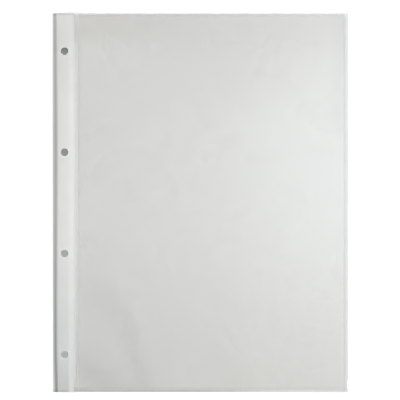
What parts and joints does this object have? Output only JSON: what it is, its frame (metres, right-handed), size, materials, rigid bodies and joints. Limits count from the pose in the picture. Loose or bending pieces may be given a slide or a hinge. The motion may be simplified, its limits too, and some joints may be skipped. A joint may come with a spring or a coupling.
{
  "type": "punched pocket folder page",
  "caption": "Clear film pocket page for A4 sheets with a white reinforced binding margin, punched for ring binders, open at the top edge.",
  "frame": {"origin": "middle of the footprint, on the surface the pocket lies on", "axes": "+X from the binding margin to the right edge, +Y to the open mouth, +Z out of the front"},
  "size_m": [0.234, 0.3, 0.0026],
  "materials": {
    "clear_film": "clear polypropylene film, faintly embossed",
    "fused_film": "clear polypropylene, two plies fused",
    "white_tape": "white polypropylene tape"
  },
  "bodies": {
    "binding_margin": {"outer_edge_weld": "fused_film", "margin_back_film": "clear_film", "reinforcing_strip": "white_tape", "margin_front_film": "clear_film", "living_hinge": "clear_film"},
    "pocket_page": {"spine_weld": "fused_film", "back_film": "clear_film", "right_edge_weld": "fused_film", "bottom_weld": "fused_film"},
    "front_panel": {"front_film": "clear_film"}
  },
  "joints": [
    {"name": "page_turn", "type": "hinge", "parent": "binding_margin", "child": "pocket_page", "pos_m": [-0.0988, 0, 0.0024], "axis": [0, -1, 0], "range_deg": [0, 90], "deforming": ["living_hinge"]},
    {"name": "mouth_open", "type": "hinge", "parent": "pocket_page", "child": "front_panel", "pos_m": [0, -0.1475, 0.00035], "axis": [1, 0, 0], "range_deg": [0, 5]}
  ]
}
